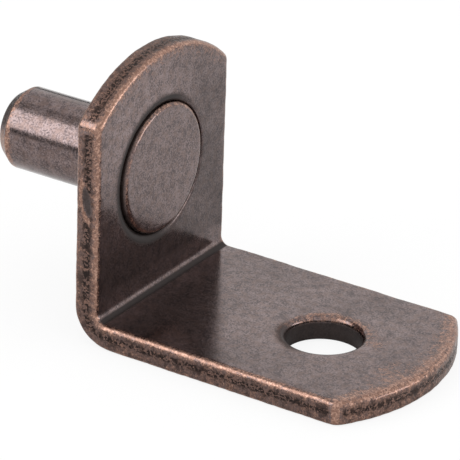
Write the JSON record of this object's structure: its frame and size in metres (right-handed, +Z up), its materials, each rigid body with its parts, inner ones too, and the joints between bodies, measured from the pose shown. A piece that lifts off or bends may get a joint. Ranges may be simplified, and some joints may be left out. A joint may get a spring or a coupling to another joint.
{
  "type": "shelf support",
  "caption": "Bent steel shelf support: an L-shaped plate with crowned ends and a screw hole in its foot, and a headed pin pressed through its upright to plug into a cabinet side.",
  "frame": {"origin": "on the pin's axis, in the plane of the bracket's back face", "axes": "+X from the back face along the foot, +Z up, and the pin points along -X; the part is symmetric about the plane through the origin whose normal is +Y"},
  "size_m": [0.0288, 0.0136, 0.0164],
  "materials": {
    "bracket_copper": "steel with a dark antique copper finish, semi-gloss and finely speckled, worn to bright copper along the rolled edges",
    "pin_copper": "turned steel with the same dark antique copper finish, worn at the head's rim and at the tip"
  },
  "bodies": {
    "root": {"bracket": "bracket_copper", "pin": "pin_copper"}
  },
  "joints": []
}
